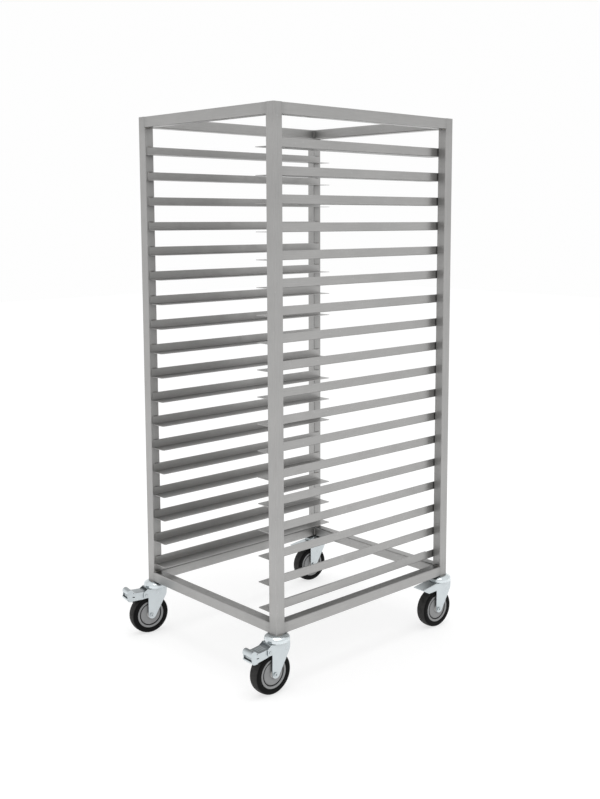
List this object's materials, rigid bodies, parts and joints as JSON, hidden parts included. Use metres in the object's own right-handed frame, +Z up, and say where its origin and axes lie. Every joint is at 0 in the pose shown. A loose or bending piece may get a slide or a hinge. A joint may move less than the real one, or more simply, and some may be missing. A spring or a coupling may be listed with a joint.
{
  "type": "sheet pan rack",
  "caption": "Mobile open-sided rack of welded square tube with facing L-shaped tray slides, on swivel casters with foot brakes at the front.",
  "frame": {"origin": "on the floor, under the middle of the tube frame", "axes": "+X across the width, -Y towards the open loading side with the braked casters, +Z up"},
  "size_m": [0.7337, 0.9232, 1.774],
  "materials": {
    "frame_steel": "square tube, satin brushed along its length, welds dressed",
    "slide_steel": "folded sheet, fine rolled grain along its length",
    "zinc_plated_steel": "bright blue-white zinc plate on pressed steel",
    "bearing_steel": "polished balls with a film of grease",
    "hardware_steel": "zinc-plated fasteners",
    "tyre_rubber": "matt black rubber, slightly dusty on the tread",
    "wheel_plastic": "moulded grey plastic",
    "bush_plastic": "plain off-white bearing plastic",
    "brake_steel": "pressed steel, dull zinc, worn on the foot pad",
    "shoe_rubber": "moulded hard rubber"
  },
  "bodies": {
    "frame": {"bottom_rail_back": "frame_steel", "bottom_rail_front": "frame_steel", "bottom_rail_left": "frame_steel", "bottom_rail_right": "frame_steel", "caster_sockets": "hardware_steel", "kingpin_bolts": "hardware_steel", "left_tray_slides": "slide_steel", "lower_swivel_cups": "zinc_plated_steel", "right_tray_slides": "slide_steel", "top_rail_back": "frame_steel", "top_rail_front": "frame_steel", "top_rail_left": "frame_steel", "top_rail_right": "frame_steel", "upper_swivel_cups": "zinc_plated_steel", "upright_back_left": "frame_steel", "upright_back_right": "frame_steel", "upright_end_caps": "frame_steel", "upright_front_left": "frame_steel", "upright_front_right": "frame_steel"},
    "caster_front_left": {"fork_front_left": "zinc_plated_steel", "swivel_balls_front_left": "bearing_steel", "axle_bolt_front_left": "hardware_steel", "axle_nut_front_left": "hardware_steel", "axle_sleeve_front_left": "hardware_steel", "pedal_pin_front_left": "hardware_steel", "pedal_spring_front_left": "hardware_steel"},
    "wheel_front_left": {"wheel_rim_front_left": "wheel_plastic", "tyre_front_left": "tyre_rubber", "wheel_bushes_front_left": "bush_plastic"},
    "pedal_front_left": {"brake_pedal_front_left": "brake_steel", "brake_shoe_front_left": "shoe_rubber"},
    "caster_front_right": {"fork_front_right": "zinc_plated_steel", "swivel_balls_front_right": "bearing_steel", "axle_bolt_front_right": "hardware_steel", "axle_nut_front_right": "hardware_steel", "axle_sleeve_front_right": "hardware_steel", "pedal_pin_front_right": "hardware_steel", "pedal_spring_front_right": "hardware_steel"},
    "wheel_front_right": {"wheel_rim_front_right": "wheel_plastic", "tyre_front_right": "tyre_rubber", "wheel_bushes_front_right": "bush_plastic"},
    "pedal_front_right": {"brake_pedal_front_right": "brake_steel", "brake_shoe_front_right": "shoe_rubber"},
    "caster_back_left": {"fork_back_left": "zinc_plated_steel", "swivel_balls_back_left": "bearing_steel", "axle_bolt_back_left": "hardware_steel", "axle_nut_back_left": "hardware_steel", "axle_sleeve_back_left": "hardware_steel"},
    "wheel_back_left": {"wheel_rim_back_left": "wheel_plastic", "tyre_back_left": "tyre_rubber", "wheel_bushes_back_left": "bush_plastic"},
    "caster_back_right": {"fork_back_right": "zinc_plated_steel", "swivel_balls_back_right": "bearing_steel", "axle_bolt_back_right": "hardware_steel", "axle_nut_back_right": "hardware_steel", "axle_sleeve_back_right": "hardware_steel"},
    "wheel_back_right": {"wheel_rim_back_right": "wheel_plastic", "tyre_back_right": "tyre_rubber", "wheel_bushes_back_right": "bush_plastic"}
  },
  "joints": [
    {"name": "swivel_front_left", "type": "hinge", "parent": "frame", "child": "caster_front_left", "pos_m": [-0.326, -0.3825, 0.162], "axis": [0, 0, 1], "continuous": true},
    {"name": "roll_front_left", "type": "hinge", "parent": "caster_front_left", "child": "wheel_front_left", "pos_m": [-0.33086, -0.41007, 0.0675], "axis": [0.9848, -0.1736, 0], "continuous": true},
    {"name": "brake_front_left", "type": "hinge", "parent": "caster_front_left", "child": "pedal_front_left", "pos_m": [-0.3339, -0.42731, 0.141], "axis": [0.9848, -0.1736, 0], "range_deg": [0, 10], "deforming": ["pedal_spring_front_left"]},
    {"name": "swivel_front_right", "type": "hinge", "parent": "frame", "child": "caster_front_right", "pos_m": [0.326, -0.3825, 0.162], "axis": [0, 0, 1], "continuous": true},
    {"name": "roll_front_right", "type": "hinge", "parent": "caster_front_right", "child": "wheel_front_right", "pos_m": [0.32502, -0.41048, 0.0675], "axis": [0.9994, -0.0349, 0], "continuous": true},
    {"name": "brake_front_right", "type": "hinge", "parent": "caster_front_right", "child": "pedal_front_right", "pos_m": [0.32441, -0.42797, 0.141], "axis": [0.9994, -0.0349, 0], "range_deg": [-10, 0], "deforming": ["pedal_spring_front_right"]},
    {"name": "swivel_back_left", "type": "hinge", "parent": "frame", "child": "caster_back_left", "pos_m": [-0.326, 0.3825, 0.162], "axis": [0, 0, 1], "continuous": true},
    {"name": "roll_back_left", "type": "hinge", "parent": "caster_back_left", "child": "wheel_back_left", "pos_m": [-0.32893, 0.35465, 0.0675], "axis": [0.9945, -0.1045, 0], "continuous": true},
    {"name": "swivel_back_right", "type": "hinge", "parent": "frame", "child": "caster_back_right", "pos_m": [0.326, 0.3825, 0.162], "axis": [0, 0, 1], "continuous": true},
    {"name": "roll_back_right", "type": "hinge", "parent": "caster_back_right", "child": "wheel_back_right", "pos_m": [0.32405, 0.35457, 0.0675], "axis": [0.9976, -0.0698, 0], "continuous": true}
  ]
}
